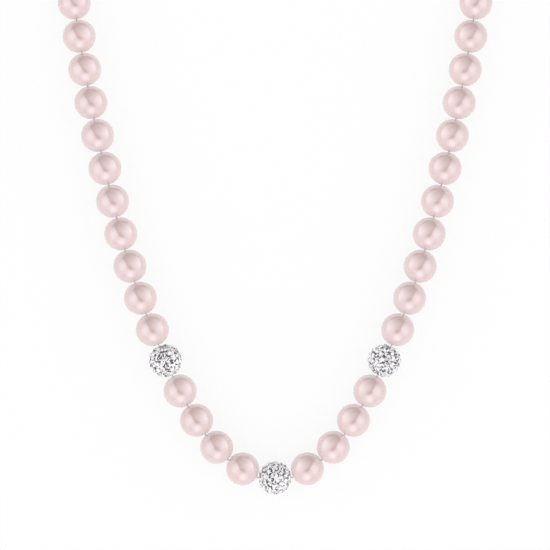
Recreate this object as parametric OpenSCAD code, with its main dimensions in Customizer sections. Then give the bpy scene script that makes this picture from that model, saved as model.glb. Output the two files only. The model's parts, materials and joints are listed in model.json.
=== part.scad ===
// Pearl necklace: one strand of round pearls with three pave crystal balls, closed by a lobster clasp.
// It lies flat on a table: the loop is in the XY plane, the clasp is at the +Y end and +Z is up.

/* [Beads] */
// Diameter of one pearl, mm
pearl_d = 7.95; // [6:0.05:10]
// Free gap between two neighbouring beads, mm
bead_gap = 0.05; // [0.04:0.01:0.12]
// Diameter of the drilled hole in each bead, mm
bore_d = 0.9; // [0.7:0.05:1.2]

/* [Crystal balls] */
// Diameter of one crystal stone at its girdle, mm
stone_d = 1.35; // [1.1:0.05:1.6]
// Free gap between two neighbouring stones, mm
stone_gap = 0.08; // [0.06:0.01:0.2]
// Height of the stones above the ball core, mm
stone_rise = 0.22; // [0.16:0.02:0.3]
// Gap between a stone and its socket, mm
socket_gap = 0.02; // [0.01:0.005:0.03]

/* [Stringing] */
// Diameter of the beading wire, mm
wire_d = 0.4; // [0.3:0.05:0.5]
// Wall of the crimp tubes, mm
crimp_wall = 0.3; // [0.2:0.05:0.5]
// Length of the crimp tubes at 8 mm bead pitch, mm
crimp_len = 2; // [1.4:0.1:2.4]

/* [Clasp] */
// Wire diameter of the jump rings at 8 mm bead pitch, mm
ring_wire = 0.8; // [0.6:0.05:0.85]
// Thickness of the clasp body at 8 mm bead pitch, mm
clasp_t = 3.1; // [2.9:0.1:3.6]
// Diameter of the clasp's rivet pin at 8 mm bead pitch, mm
pin_d = 0.8; // [0.6:0.05:0.9]
// Gap between the clasp's moving pieces, mm
clasp_gap = 0.06; // [0.04:0.01:0.1]

/* [View] */
// Which sub-part to draw

/* [Hidden] */
$fn = 48;
// Every sub-part, in the order it is drawn

// Distance between the centres of two neighbouring beads
pitch = pearl_d + bead_gap;
// The fittings of the clasp grow with the beads
k = pitch / 8;
pearl_r = pearl_d / 2;
// The beads rest on z = 0, so the strand's axis is one radius up
axis_z = pearl_r;

// How far the strand turns at each link, degrees, from the centre ball to the end of one side
turns_seen = [31, 17.5, 9.5, 5.5, 2, 2.5, 2.5, 2.5, 2.5, 1, 0.5, 1, 1, 1, 1, 1];
turns_back = [12.5, 12.5, 12.5, 12.5, 12, 12, 12, 12];
turns = concat(turns_seen, turns_back);
last_bead = len(turns) - 1;
// Which bead of each side is a crystal ball
ball_bead = 5;

// One step along the left side: [x, y, heading from +Y]
function next_bead(s, turn) = [
    s[0] - pitch * sin(s[2] - turn / 2),
    s[1] + pitch * cos(s[2] - turn / 2),
    s[2] - turn
];
lay = [for (i = 0, s = [0, 0, 90]; i <= last_bead; s = next_bead(s, turns[i]), i = i + 1) s];

// The point where the wire bends between bead i and the next one
function link_reach(i) = (pitch / 2) / cos(turns[i] / 2);
function link_point(i) = [
    lay[i][0] - link_reach(i) * sin(lay[i][2]),
    lay[i][1] + link_reach(i) * cos(lay[i][2])
];
links = [for (i = [0:last_bead]) link_point(i)];
end_x = -links[last_bead][0];
end_y = links[last_bead][1];

// Crystal balls: stones in rings around the bore
ball_r = pearl_r;
core_r = ball_r - stone_rise;
stone_r = stone_d / 2;
table_r = 0.56 * stone_r;
crown_h = 0.17 * stone_d;
girdle_h = 0.07 * stone_d;
pavilion_h = 0.42 * stone_d;
// Distance of a stone's girdle from the ball's centre, with the table's rim on the ball's sphere
seat_r = sqrt(ball_r * ball_r - table_r * table_r) - crown_h;
first_ring = asin((bore_d / 2 + 0.3) / core_r) + asin((stone_r + 0.06) / seat_r);
ring_step = 2 * asin((stone_r + stone_gap / 2) / seat_r);
stone_rings = floor((180 - 2 * first_ring) / ring_step) + 1;
ring_angle = (180 - 2 * first_ring) / (stone_rings - 1);
function ring_polar(j) = first_ring + j * ring_angle;
function ring_count(j) = floor(180 / asin((stone_r + stone_gap / 2) / (seat_r * sin(ring_polar(j)))));

// Wire ends: each makes a loop and comes back through its crimp tube beside itself
wire_r = wire_d / 2;
pass_gap = wire_d + 0.05;
crimp_from = 0.3 * k;
crimp_to = crimp_from + crimp_len * k;
crimp_bore_r = pass_gap / 2 + wire_r + 0.05;
crimp_r = crimp_bore_r + crimp_wall;

// Jump rings stand on edge in the wire loops
ring_w = ring_wire * k;
ring_c = 2.5 * k - ring_w / 2;
ring_z = 2.6 * k;
// The clasp lies flat between the rings
body_t = clasp_t * k;
clasp_z = body_t / 2 + 0.45 * k;
clasp_y = end_y + pass_gap / 2;
// Where the second ring passes through the clasp's mouth, from the tail eye
grip = [8.5 * k - ring_w / 2, 1.12 * k - ring_w / 2];
grip_len = norm(grip);
clasp_turn = -atan2(grip[1], grip[0]);
ring_at_loop = sqrt(ring_c * ring_c - (axis_z - ring_z) * (axis_z - ring_z));
ring_at_clasp = sqrt(ring_c * ring_c - (ring_z - clasp_z) * (ring_z - clasp_z));
ring_x = grip_len / 2 + ring_at_clasp;
// The wire loops take up what is left between the last pearls and the rings
loop_reach = end_x - ring_x - ring_at_loop;
loop_r = 1.05 * k;
// The ring leans where it passes the wire loop, so it needs more room there than its own wire
ring_lean = acos(ring_at_loop / ring_c);
loop_room = ring_w / 2 / cos(ring_lean) + wire_r * tan(ring_lean) + 0.2 * k;
loop_u = loop_reach + loop_room + wire_r - loop_r;

// Clasp pieces, measured from the tail eye along the clasp
eye_r = 0.62 * k + ring_w / 2;
pivot = [4.2 * k, -1.4 * k];
pin_r = pin_d * k / 2;
hub_r = 0.85 * k;
arm_t = 1.2 * k;
slot_low = -arm_t / 2 - clasp_gap;
slot_high = 1.18 * k;
spring_wire_r = 0.1 * k;
spring_r = pin_r + spring_wire_r + 0.12 * k;
spring_z = [arm_t / 2 + clasp_gap + spring_wire_r, slot_high - clasp_gap - spring_wire_r];

// The part's origin is below the middle of its box
y_high = max(lay[last_bead][1] + pearl_r, clasp_y + 2.75 * k);
mid_y = (y_high - ball_r) / 2;

pearl_pink = [0.91, 0.83, 0.83];
core_grey = [0.36, 0.33, 0.37];
crystal_white = [0.90, 0.90, 0.93];
steel_grey = [0.70, 0.70, 0.72];
silver = [0.82, 0.82, 0.84];

// Puts a bead on its side of the strand: side -1 is left, +1 is right, +Y of the bead runs outward
module bead_place(side, i) {
    translate([-side * lay[i][0], lay[i][1] - mid_y, axis_z])
        rotate([0, 0, -side * lay[i][2]])
            children();
}

module bore() {
    rotate([90, 0, 0])
        cylinder(d = bore_d, h = pearl_d + 2, center = true);
}

module pearl(side, i) {
    color(pearl_pink)
        bead_place(side, i)
            difference() {
                sphere(d = pearl_d);
                bore();
            }
}

// One round stone on +Z, its girdle at z = 0
module stone() {
    rotate_extrude()
        polygon([
            [0, -pavilion_h],
            [0.2 * stone_r, -pavilion_h],
            [stone_r, -girdle_h],
            [stone_r, 0],
            [table_r, crown_h],
            [0, crown_h]
        ]);
}

// The room cut for a stone, open outward
module socket() {
    rotate_extrude()
        polygon([
            [0, -pavilion_h - socket_gap],
            [0.2 * stone_r + socket_gap, -pavilion_h - socket_gap],
            [stone_r + socket_gap, -girdle_h - socket_gap],
            [stone_r + socket_gap, stone_d],
            [0, stone_d]
        ]);
}

// Repeats its child at every stone of a ball whose bore runs along Z
module at_stones() {
    for (j = [0:stone_rings - 1])
        for (m = [0:ring_count(j) - 1])
            rotate([0, ring_polar(j), 270 + (m + 0.5 * (j % 2)) * 360 / ring_count(j)])
                translate([0, 0, seat_r])
                    children();
}

// The ball is turned around its bore, so that the bore leaves it no poles
module ball_core(side, i) {
    color(core_grey)
        bead_place(side, i)
            rotate([-90, 0, 0])
                difference() {
                    rotate_extrude()
                        difference() {
                            circle(r = core_r);
                            translate([bore_d / 2 - 2 * core_r, -2 * core_r])
                                square([2 * core_r, 4 * core_r]);
                        }
                    at_stones()
                        socket();
                }
}

module ball_stones(side, i) {
    color(crystal_white)
        bead_place(side, i)
            rotate([-90, 0, 0])
                at_stones()
                    stone();
}

// A round tube swept along points in space, 8 sided
module tube(path, r) {
    last = len(path) - 1;
    dirs = [for (i = [0:last]) unit(path[min(i + 1, last)] - path[max(i - 1, 0)])];
    rings = [for (i = [0:last]) tube_ring(path, dirs, i, r)];
    skin = [for (i = [0:last - 1]) for (j = [0:7]) each [
        [8 * i + j, 8 * i + 8 + j, 8 * i + (j + 1) % 8],
        [8 * i + (j + 1) % 8, 8 * i + 8 + j, 8 * i + 8 + (j + 1) % 8]
    ]];
    caps = [[for (j = [0:7]) j], [for (j = [7:-1:0]) 8 * last + j]];
    polyhedron(points = [for (ring = rings) each ring], faces = concat(skin, caps));
}

function unit(v) = v / norm(v);

// Eight points around path point i, widened on the outside of a bend so that the tube keeps its width
function tube_ring(path, dirs, i, r) =
    let (side = unit(cross([0, 0, 1], dirs[i])))
    let (up = cross(dirs[i], side))
    let (into = unit(path[i] - path[max(i - 1, 0)] + (i == 0 ? dirs[0] : [0, 0, 0])))
    let (wide = 1 / max(0.7, into * dirs[i]))
    [for (j = [0:7]) path[i] + r * (wide * cos(45 * j + 22.5) * side + sin(45 * j + 22.5) * up)];

// Points of the left half of the wire, from the first link to the tail in the crimp tube
wire_left = concat(
    links,
    [[crimp_to - end_x, end_y]],
    [for (a = [-120:30:120]) [
        loop_u - end_x + loop_r * cos(a),
        clasp_y + loop_r * sin(a)
    ]],
    [[crimp_to - end_x, end_y + pass_gap]],
    [[crimp_from - end_x, end_y + pass_gap]]
);
wire_count = len(wire_left);
wire_path = concat(
    [for (i = [wire_count - 1:-1:0]) [-wire_left[i][0], wire_left[i][1] - mid_y, axis_z]],
    [for (p = wire_left) [p[0], p[1] - mid_y, axis_z]]
);

module crimp_tube(side) {
    color(silver)
        translate([side * end_x, clasp_y - mid_y, axis_z])
            rotate([0, -side * 90, 0])
                difference() {
                    translate([0, 0, crimp_from])
                        cylinder(r = crimp_r, h = crimp_to - crimp_from);
                    cylinder(r = crimp_bore_r, h = crimp_to + 1);
                }
}

// A ring of round wire standing on edge, with the cut where its ends meet
module jump_ring(side) {
    color(silver)
        translate([side * ring_x, clasp_y - mid_y, ring_z])
            rotate([90, 0, 0])
                difference() {
                    rotate_extrude()
                        translate([ring_c, 0])
                            circle(d = ring_w);
                    translate([0, ring_c, 0])
                        cube([0.1 * k, 2 * ring_w, 2 * ring_w], center = true);
                }
}

// Puts a clasp piece in place: x runs from the tail eye to the nose, z = 0 is the clasp's middle plane
module clasp_place() {
    translate([-grip_len / 2, clasp_y - mid_y, clasp_z])
        rotate([0, 0, clasp_turn])
            children();
}

module slab(t) {
    linear_extrude(height = t, center = true)
        children();
}

module clasp_tail_2d() {
    circle(r = eye_r + 0.62 * k);
    polygon(k * [[0, -1.1], [2.2, -1.9], [2.2, 1.9], [0, 1.1]]);
}

module clasp_bulb_2d() {
    translate([3.3 * k, 0])
        circle(r = 2.7 * k);
}

module clasp_hook_2d() {
    difference() {
        union() {
            polygon(k * [[3.3, 0], [3.3, 2.7], [8.4, 2.6], [8.4, 0]]);
            translate([8.4 * k, 0])
                circle(r = 2.6 * k);
        }
        clasp_mouth_2d();
    }
}

module clasp_mouth_2d() {
    translate([8.4 * k, 0])
        circle(r = 1.35 * k);
    polygon(k * [[5.4, -3], [8.9, -3], [8.9, 0], [8.4, 0], [8.4, 1.35], [5.4, 1.35]]);
}

// The room that the trigger needs between the body's cheeks
module clasp_slot_2d() {
    translate(pivot)
        circle(r = hub_r + 0.25 * k);
    polygon(k * [[3.1, -1.4], [3.1, -3.4], [6.4, -3.4], [6.4, 0.6], [5.3, 0.5], [4.2, -0.3]]);
}

module trigger_hub_2d() {
    translate(pivot)
        circle(r = hub_r);
}

module trigger_arm_2d() {
    polygon(k * [[4.2, -0.55], [8.35, -1.2], [8.8, -1.55], [8.8, -2.1], [4.2, -2.25]]);
}

module trigger_nub_2d() {
    translate([5.2 * k, -2.5 * k])
        circle(r = 0.55 * k);
}

module pearl_left_01() {
    pearl(-1, 1);
}

module pearl_left_02() {
    pearl(-1, 2);
}

module pearl_left_03() {
    pearl(-1, 3);
}

module pearl_left_04() {
    pearl(-1, 4);
}

module pearl_left_05() {
    pearl(-1, 6);
}

module pearl_left_06() {
    pearl(-1, 7);
}

module pearl_left_07() {
    pearl(-1, 8);
}

module pearl_left_08() {
    pearl(-1, 9);
}

module pearl_left_09() {
    pearl(-1, 10);
}

module pearl_left_10() {
    pearl(-1, 11);
}

module pearl_left_11() {
    pearl(-1, 12);
}

module pearl_left_12() {
    pearl(-1, 13);
}

module pearl_left_13() {
    pearl(-1, 14);
}

module pearl_left_14() {
    pearl(-1, 15);
}

module pearl_left_15() {
    pearl(-1, 16);
}

module pearl_left_16() {
    pearl(-1, 17);
}

module pearl_left_17() {
    pearl(-1, 18);
}

module pearl_left_18() {
    pearl(-1, 19);
}

module pearl_left_19() {
    pearl(-1, 20);
}

module pearl_left_20() {
    pearl(-1, 21);
}

module pearl_left_21() {
    pearl(-1, 22);
}

module pearl_left_22() {
    pearl(-1, 23);
}

module pearl_right_01() {
    pearl(1, 1);
}

module pearl_right_02() {
    pearl(1, 2);
}

module pearl_right_03() {
    pearl(1, 3);
}

module pearl_right_04() {
    pearl(1, 4);
}

module pearl_right_05() {
    pearl(1, 6);
}

module pearl_right_06() {
    pearl(1, 7);
}

module pearl_right_07() {
    pearl(1, 8);
}

module pearl_right_08() {
    pearl(1, 9);
}

module pearl_right_09() {
    pearl(1, 10);
}

module pearl_right_10() {
    pearl(1, 11);
}

module pearl_right_11() {
    pearl(1, 12);
}

module pearl_right_12() {
    pearl(1, 13);
}

module pearl_right_13() {
    pearl(1, 14);
}

module pearl_right_14() {
    pearl(1, 15);
}

module pearl_right_15() {
    pearl(1, 16);
}

module pearl_right_16() {
    pearl(1, 17);
}

module pearl_right_17() {
    pearl(1, 18);
}

module pearl_right_18() {
    pearl(1, 19);
}

module pearl_right_19() {
    pearl(1, 20);
}

module pearl_right_20() {
    pearl(1, 21);
}

module pearl_right_21() {
    pearl(1, 22);
}

module pearl_right_22() {
    pearl(1, 23);
}

module crystal_core_centre() {
    ball_core(1, 0);
}

module crystal_stones_centre() {
    ball_stones(1, 0);
}

module crystal_core_left() {
    ball_core(-1, ball_bead);
}

module crystal_stones_left() {
    ball_stones(-1, ball_bead);
}

module crystal_core_right() {
    ball_core(1, ball_bead);
}

module crystal_stones_right() {
    ball_stones(1, ball_bead);
}

module stringing_wire() {
    color(steel_grey)
        tube(wire_path, wire_r);
}

module crimp_tube_left() {
    crimp_tube(-1);
}

module crimp_tube_right() {
    crimp_tube(1);
}

module jump_ring_left() {
    jump_ring(-1);
}

module jump_ring_right() {
    jump_ring(1);
}

module clasp_body() {
    color(silver)
        clasp_place()
            difference() {
                union() {
                    slab(1.4 * k)
                        clasp_tail_2d();
                    slab(body_t)
                        clasp_bulb_2d();
                    slab(1.7 * k)
                        clasp_hook_2d();
                }
                cylinder(r = eye_r, h = 2 * body_t, center = true);
                slab(2 * body_t)
                    clasp_mouth_2d();
                translate([0, 0, slot_low])
                    linear_extrude(height = slot_high - slot_low)
                        clasp_slot_2d();
                translate(pivot)
                    cylinder(r = pin_r + 0.02, h = 2 * body_t, center = true);
            }
}

module clasp_trigger() {
    color(silver)
        clasp_place()
            difference() {
                union() {
                    slab(arm_t)
                        trigger_hub_2d();
                    slab(arm_t)
                        trigger_arm_2d();
                    slab(arm_t)
                        trigger_nub_2d();
                }
                translate(pivot)
                    cylinder(r = pin_r + clasp_gap, h = 2 * body_t, center = true);
            }
}

// A torsion spring of one turn around the rivet pin, with a leg in the body and a leg over the trigger
module clasp_spring() {
    rise = spring_z[1] - spring_z[0];
    coil = [for (a = [0:24:408]) [
        spring_r * cos(a + 156),
        spring_r * sin(a + 156),
        spring_z[0] + rise * a / 408
    ]];
    low_leg = coil[0] - 0.4 * k * unit(coil[1] - coil[0]);
    high_leg = coil[17] + 0.9 * k * unit([coil[17][0] - coil[16][0], coil[17][1] - coil[16][1], 0]);
    color(steel_grey)
        clasp_place()
            translate(pivot)
                tube(concat([low_leg], coil, [high_leg]), spring_wire_r);
}

module clasp_pin() {
    color(silver)
        clasp_place()
            translate(pivot)
                cylinder(r = pin_r, h = body_t, center = true);
}

pearl_left_01();
pearl_left_02();
pearl_left_03();
pearl_left_04();
pearl_left_05();
pearl_left_06();
pearl_left_07();
pearl_left_08();
pearl_left_09();
pearl_left_10();
pearl_left_11();
pearl_left_12();
pearl_left_13();
pearl_left_14();
pearl_left_15();
pearl_left_16();
pearl_left_17();
pearl_left_18();
pearl_left_19();
pearl_left_20();
pearl_left_21();
pearl_left_22();
pearl_right_01();
pearl_right_02();
pearl_right_03();
pearl_right_04();
pearl_right_05();
pearl_right_06();
pearl_right_07();
pearl_right_08();
pearl_right_09();
pearl_right_10();
pearl_right_11();
pearl_right_12();
pearl_right_13();
pearl_right_14();
pearl_right_15();
pearl_right_16();
pearl_right_17();
pearl_right_18();
pearl_right_19();
pearl_right_20();
pearl_right_21();
pearl_right_22();
crystal_core_centre();
crystal_stones_centre();
crystal_core_left();
crystal_stones_left();
crystal_core_right();
crystal_stones_right();
stringing_wire();
crimp_tube_left();
crimp_tube_right();
jump_ring_left();
jump_ring_right();
clasp_body();
clasp_trigger();
clasp_spring();
clasp_pin();
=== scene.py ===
"""Looks of the pearl necklace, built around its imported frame.

One strand of pale pink pearls with three pave crystal balls lies on a pale floor and is seen from
straight above. Sizes are in millimetres in the classes below and become metres in the meshes.
"""

import json
import logging
import math
from dataclasses import dataclass, field
from enum import Enum
from functools import reduce
from typing import Any, Iterator, Sequence, Union

import bmesh
import bpy
from mathutils import Euler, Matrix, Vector

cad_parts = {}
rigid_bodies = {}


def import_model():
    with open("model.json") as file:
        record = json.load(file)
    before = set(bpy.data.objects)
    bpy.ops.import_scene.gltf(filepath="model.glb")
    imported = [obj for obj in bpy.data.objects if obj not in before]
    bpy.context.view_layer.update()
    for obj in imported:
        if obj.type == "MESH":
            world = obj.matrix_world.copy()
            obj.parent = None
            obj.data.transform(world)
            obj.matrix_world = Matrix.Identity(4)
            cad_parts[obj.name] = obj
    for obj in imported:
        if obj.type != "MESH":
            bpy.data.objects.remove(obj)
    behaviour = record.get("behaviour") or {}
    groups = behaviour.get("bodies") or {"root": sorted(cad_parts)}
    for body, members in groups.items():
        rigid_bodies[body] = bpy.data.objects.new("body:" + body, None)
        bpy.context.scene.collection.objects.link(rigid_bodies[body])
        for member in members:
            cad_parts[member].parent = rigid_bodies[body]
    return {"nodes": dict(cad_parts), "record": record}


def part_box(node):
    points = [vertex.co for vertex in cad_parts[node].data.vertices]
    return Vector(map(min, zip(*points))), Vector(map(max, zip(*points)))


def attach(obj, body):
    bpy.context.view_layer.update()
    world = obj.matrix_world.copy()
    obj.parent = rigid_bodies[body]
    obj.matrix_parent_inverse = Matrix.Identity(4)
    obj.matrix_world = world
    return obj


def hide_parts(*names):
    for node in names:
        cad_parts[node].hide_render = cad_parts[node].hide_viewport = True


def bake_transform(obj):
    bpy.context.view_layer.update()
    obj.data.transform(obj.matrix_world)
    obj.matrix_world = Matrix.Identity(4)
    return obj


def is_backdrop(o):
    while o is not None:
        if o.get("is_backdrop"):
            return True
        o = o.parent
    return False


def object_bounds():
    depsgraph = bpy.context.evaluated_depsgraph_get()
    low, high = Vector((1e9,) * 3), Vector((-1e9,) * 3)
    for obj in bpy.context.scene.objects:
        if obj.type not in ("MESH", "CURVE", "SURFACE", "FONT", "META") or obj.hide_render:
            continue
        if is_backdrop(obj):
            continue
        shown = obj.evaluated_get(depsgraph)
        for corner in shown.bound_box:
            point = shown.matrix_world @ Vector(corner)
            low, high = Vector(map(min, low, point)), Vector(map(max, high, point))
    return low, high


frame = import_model()
cad_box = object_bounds()

MM = 0.001
WELD_GAP = 1e-7
log = logging.getLogger("necklace")

Node = bpy.types.Node
Socket = bpy.types.NodeSocket
Outputs = bpy.types.NodeOutputs
Material = bpy.types.Material
Piece = bpy.types.Object
Feed = Union[Node, Socket, float, int, str, Sequence[float], Material]
Colour = tuple[float, float, float]
Span = tuple[float, float]


class Side(Enum):
    """The two halves of the strand, as the camera sees them."""

    LEFT = "left"
    RIGHT = "right"

    @property
    def sign(self) -> int:
        """-1 on the left and +1 on the right."""
        return -1 if self is Side.LEFT else 1


class Slot(Enum):
    """The names of the record's material slots."""

    PEARL = "pearl"
    CRYSTAL = "crystal"
    WIRE = "wire"
    SILVER = "silver"


class NodeWriter:
    """Adds nodes to one tree, sets their sockets and links them."""

    MIX_INPUTS = (0, 6, 7)
    MIX_RESULT = 2

    def __init__(self, tree: bpy.types.NodeTree) -> None:
        """Keeps the tree to write to."""
        self.tree = tree

    def add(self, kind: str, *values: Feed, **given: Any) -> Node:
        """Adds a node.

        Args:
            kind: Blender's name of the node's type.
            values: its first inputs, in order.
            given: its properties, in small letters, and its other inputs, with _ for a space.

        Returns:
            The new node.
        """
        node = self.tree.nodes.new(kind)
        for name in [name for name in given if name[0].islower()]:
            setattr(node, name, given.pop(name))
        for socket, value in zip(node.inputs, values):
            self.feed(socket, value)
        for name, value in given.items():
            self.feed(node.inputs[name.replace("_", " ")], value)
        return node

    def feed(self, socket: Socket, value: Feed) -> None:
        """Links an input to an output or to a node's first output, or sets it to a plain value.

        Args:
            socket: the input.
            value: what it gets.
        """
        if isinstance(value, Node):
            value = value.outputs[0]
        if isinstance(value, Socket):
            self.tree.links.new(value, socket)
        else:
            socket.default_value = value

    def math(self, operation: str, *values: Feed, clamp: bool = False) -> Socket:
        """Adds a Math node and gives its result, kept between 0 and 1 if it is clamped."""
        return self.add("ShaderNodeMath", *values, operation=operation, use_clamp=clamp).outputs[0]

    def times(self, first: Feed, *others: Feed) -> Feed:
        """Multiplies numbers, from left to right."""
        return reduce(lambda product, other: self.math("MULTIPLY", product, other), others, first)

    def square(self, value: Feed) -> Socket:
        """Multiplies a number by itself."""
        return self.math("MULTIPLY", value, value)

    def vector(self, x: Feed, y: Feed, z: Feed) -> Node:
        """Joins three numbers into a vector."""
        return self.add("ShaderNodeCombineXYZ", X=x, Y=y, Z=z)

    def split(self, vector: Feed) -> tuple[Socket, Socket, Socket]:
        """Parts a vector into its three numbers."""
        x, y, z = self.add("ShaderNodeSeparateXYZ", Vector=vector).outputs
        return x, y, z

    def ramp(
        self, value: Feed, low: Feed, high: Feed, at_low: float = 0.0, at_high: float = 1.0
    ) -> Node:
        """Maps a value smoothly from the span of low to high to that of at_low to at_high."""
        span = {"From_Min": low, "From_Max": high, "To_Min": at_low, "To_Max": at_high}
        return self.add("ShaderNodeMapRange", interpolation_type="SMOOTHSTEP", Value=value, **span)

    def mix(self, factor: Feed, a: Feed, b: Feed) -> Socket:
        """Mixes two colours.

        Args:
            factor: 0 gives a, 1 gives b.
            a: the first colour.
            b: the second colour.

        Returns:
            The mixed colour.
        """
        node = self.add("ShaderNodeMix", data_type="RGBA")
        for index, value in zip(self.MIX_INPUTS, (factor, a, b)):
            self.feed(node.inputs[index], (*value, 1.0) if isinstance(value, tuple) else value)
        return node.outputs[self.MIX_RESULT]


class GeometryTree(NodeWriter):
    """A Geometry Nodes tree with named inputs that is run once for each body's mesh."""

    def __init__(self, name: str) -> None:
        """Starts an empty tree with a mesh coming in and a mesh going out.

        Args:
            name: the tree's name.
        """
        super().__init__(bpy.data.node_groups.new(name, "GeometryNodeTree"))
        for way in ("INPUT", "OUTPUT"):
            self.tree.interface.new_socket("Geometry", in_out=way, socket_type="NodeSocketGeometry")
        self.source = self.add("NodeGroupInput")
        self.identifiers: dict[str, str] = {}

    def size(self, name: str, kind: str = "NodeSocketFloat") -> Socket:
        """Adds a named input to the tree.

        Args:
            name: the input's name.
            kind: the type of its socket.

        Returns:
            The socket that carries it inside the tree.
        """
        item = self.tree.interface.new_socket(name, in_out="INPUT", socket_type=kind)
        self.identifiers[name] = item.identifier
        return next(s for s in self.source.outputs if s.identifier == item.identifier)

    def keep(self, mesh: Feed, name: str, value: Feed, domain: str = "POINT") -> Node:
        """Stores a number on a mesh under a name, for each point or another part of it."""
        kind = {"data_type": "FLOAT", "domain": domain}
        return self.add("GeometryNodeStoreNamedAttribute", **kind, Geometry=mesh, Name=name, Value=value)

    def scaled(self, vector: Feed, factor: Feed) -> Node:
        """Makes a vector longer or shorter."""
        return self.add("ShaderNodeVectorMath", operation="SCALE", Vector=vector, Scale=factor)

    def ring_angle(self, points: int) -> Feed:
        """Gives the angle of each point of a ring."""
        return self.times(self.add("GeometryNodeInputIndex"), math.tau / points)

    def outline(self, ring: Feed, place: Feed) -> Node:
        """Moves the points of a ring to their places and makes it a curve."""
        moved = self.add("GeometryNodeSetPosition", Geometry=ring, Position=place)
        return self.add("GeometryNodeMeshToCurve", Mesh=moved)

    def end(self, mesh: Feed, smooth: bool) -> None:
        """Realizes the mesh, shades it and gives it the finish that comes in.

        Args:
            mesh: the tree's result.
            smooth: whether its faces are shaded smooth.
        """
        real = self.add("GeometryNodeRealizeInstances", Geometry=mesh)
        shaded = self.add("GeometryNodeSetShadeSmooth", Geometry=real, Shade_Smooth=smooth)
        finish = self.size("Finish", "NodeSocketMaterial")
        dressed = self.add("GeometryNodeSetMaterial", Geometry=shaded, Material=finish)
        self.add("NodeGroupOutput", Geometry=dressed)

    def run(self, name: str, carrier: bpy.types.Mesh, **values: Any) -> Piece:
        """Runs the tree on a mesh and keeps the result as a plain mesh.

        Args:
            name: the new piece's name.
            carrier: the mesh that comes in.
            values: the named inputs, with _ for a space.

        Returns:
            The piece, at the origin, with no modifier left.
        """
        piece = bpy.data.objects.new(name, carrier)
        bpy.context.scene.collection.objects.link(piece)
        modifier = piece.modifiers.new("shape", "NODES")
        modifier.node_group = self.tree
        for key, value in values.items():
            modifier[self.identifiers[key.replace("_", " ")]] = value
        settle(piece)
        return piece


def settle(piece: Piece) -> None:
    """Turns a piece's modifiers into plain mesh and removes them.

    Args:
        piece: the piece.
    """
    graph = bpy.context.evaluated_depsgraph_get()
    mesh = bpy.data.meshes.new_from_object(
        piece.evaluated_get(graph), preserve_all_data_layers=True, depsgraph=graph
    )
    piece.modifiers.clear()
    piece.data = mesh
    mesh.name = piece.name


def dots(name: str, points: Sequence[Sequence[float]], chained: bool = False) -> bpy.types.Mesh:
    """Makes a carrier mesh of loose points, in millimetres.

    Args:
        name: the mesh's name.
        points: the points.
        chained: whether each point is joined to the next by an edge.

    Returns:
        The mesh, in metres.
    """
    mesh = bpy.data.meshes.new(name)
    edges = [(i, i + 1) for i in range(len(points) - 1)] if chained else []
    mesh.from_pydata([Vector(p) * MM for p in points], edges, [])
    return mesh


def solid(name: str, sheet: bmesh.types.BMesh, finish: Material) -> Piece:
    """Closes a mesh under construction and makes it a piece.

    Args:
        name: the piece's name.
        sheet: the mesh, which is used up.
        finish: its material.

    Returns:
        The piece, with smooth outward faces.
    """
    bmesh.ops.remove_doubles(sheet, verts=sheet.verts, dist=WELD_GAP)
    bmesh.ops.recalc_face_normals(sheet, faces=sheet.faces)
    for face in sheet.faces:
        face.smooth = True
    mesh = bpy.data.meshes.new(name)
    sheet.to_mesh(mesh)
    sheet.free()
    mesh.materials.append(finish)
    piece = bpy.data.objects.new(name, mesh)
    bpy.context.scene.collection.objects.link(piece)
    return piece


def hang(piece: Piece, body: str, slot: Slot, node: str) -> None:
    """Puts a finished piece on its body and in place of its CAD node.

    Args:
        piece: the piece.
        body: the CAD body that carries it.
        slot: the record's material slot; not used.
        node: the CAD node that it stands for.
    """
    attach(piece, body)
    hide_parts(node)
    log.info("%s rides on %s, %d faces", piece.name, body, len(piece.data.polygons))


def dress(node: str, finish: Material) -> None:
    """Gives a carried-over CAD node its finish.

    Args:
        node: the CAD node.
        finish: its material.
    """
    slots = frame["nodes"][node].data.materials
    slots.clear()
    slots.append(finish)
    log.info("%s keeps its CAD shape", node)


def set_apart(*beads: Piece) -> None:
    """Keeps beads out of their neighbours' lustre, so that each one shines as if it lay alone."""
    for bead in beads:
        bead.visible_glossy = False


class EffectGroup:
    """A shader group that is built once and placed in each material with its own values."""

    NAME = ""
    INPUTS: dict[str, str] = {}
    OUTPUTS: tuple[str, ...] = ()

    @classmethod
    def tree(cls) -> bpy.types.NodeTree:
        """Builds the group at its first use.

        Returns:
            The group.
        """
        known = bpy.data.node_groups.get(cls.NAME)
        if known:
            return known
        tree = bpy.data.node_groups.new(cls.NAME, "ShaderNodeTree")
        for name, kind in cls.INPUTS.items():
            tree.interface.new_socket(name, in_out="INPUT", socket_type="NodeSocket" + kind)
        for name in cls.OUTPUTS:
            tree.interface.new_socket(name, in_out="OUTPUT", socket_type="NodeSocketFloat")
        writer = NodeWriter(tree)
        results = cls.write(writer, writer.add("NodeGroupInput").outputs)
        writer.add("NodeGroupOutput", **dict(zip(cls.OUTPUTS, results)))
        return tree

    @classmethod
    def write(cls, writer: NodeWriter, given: Outputs) -> tuple[Feed, ...]:
        """Writes the effect's nodes and gives its outputs in order."""
        raise NotImplementedError


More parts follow.
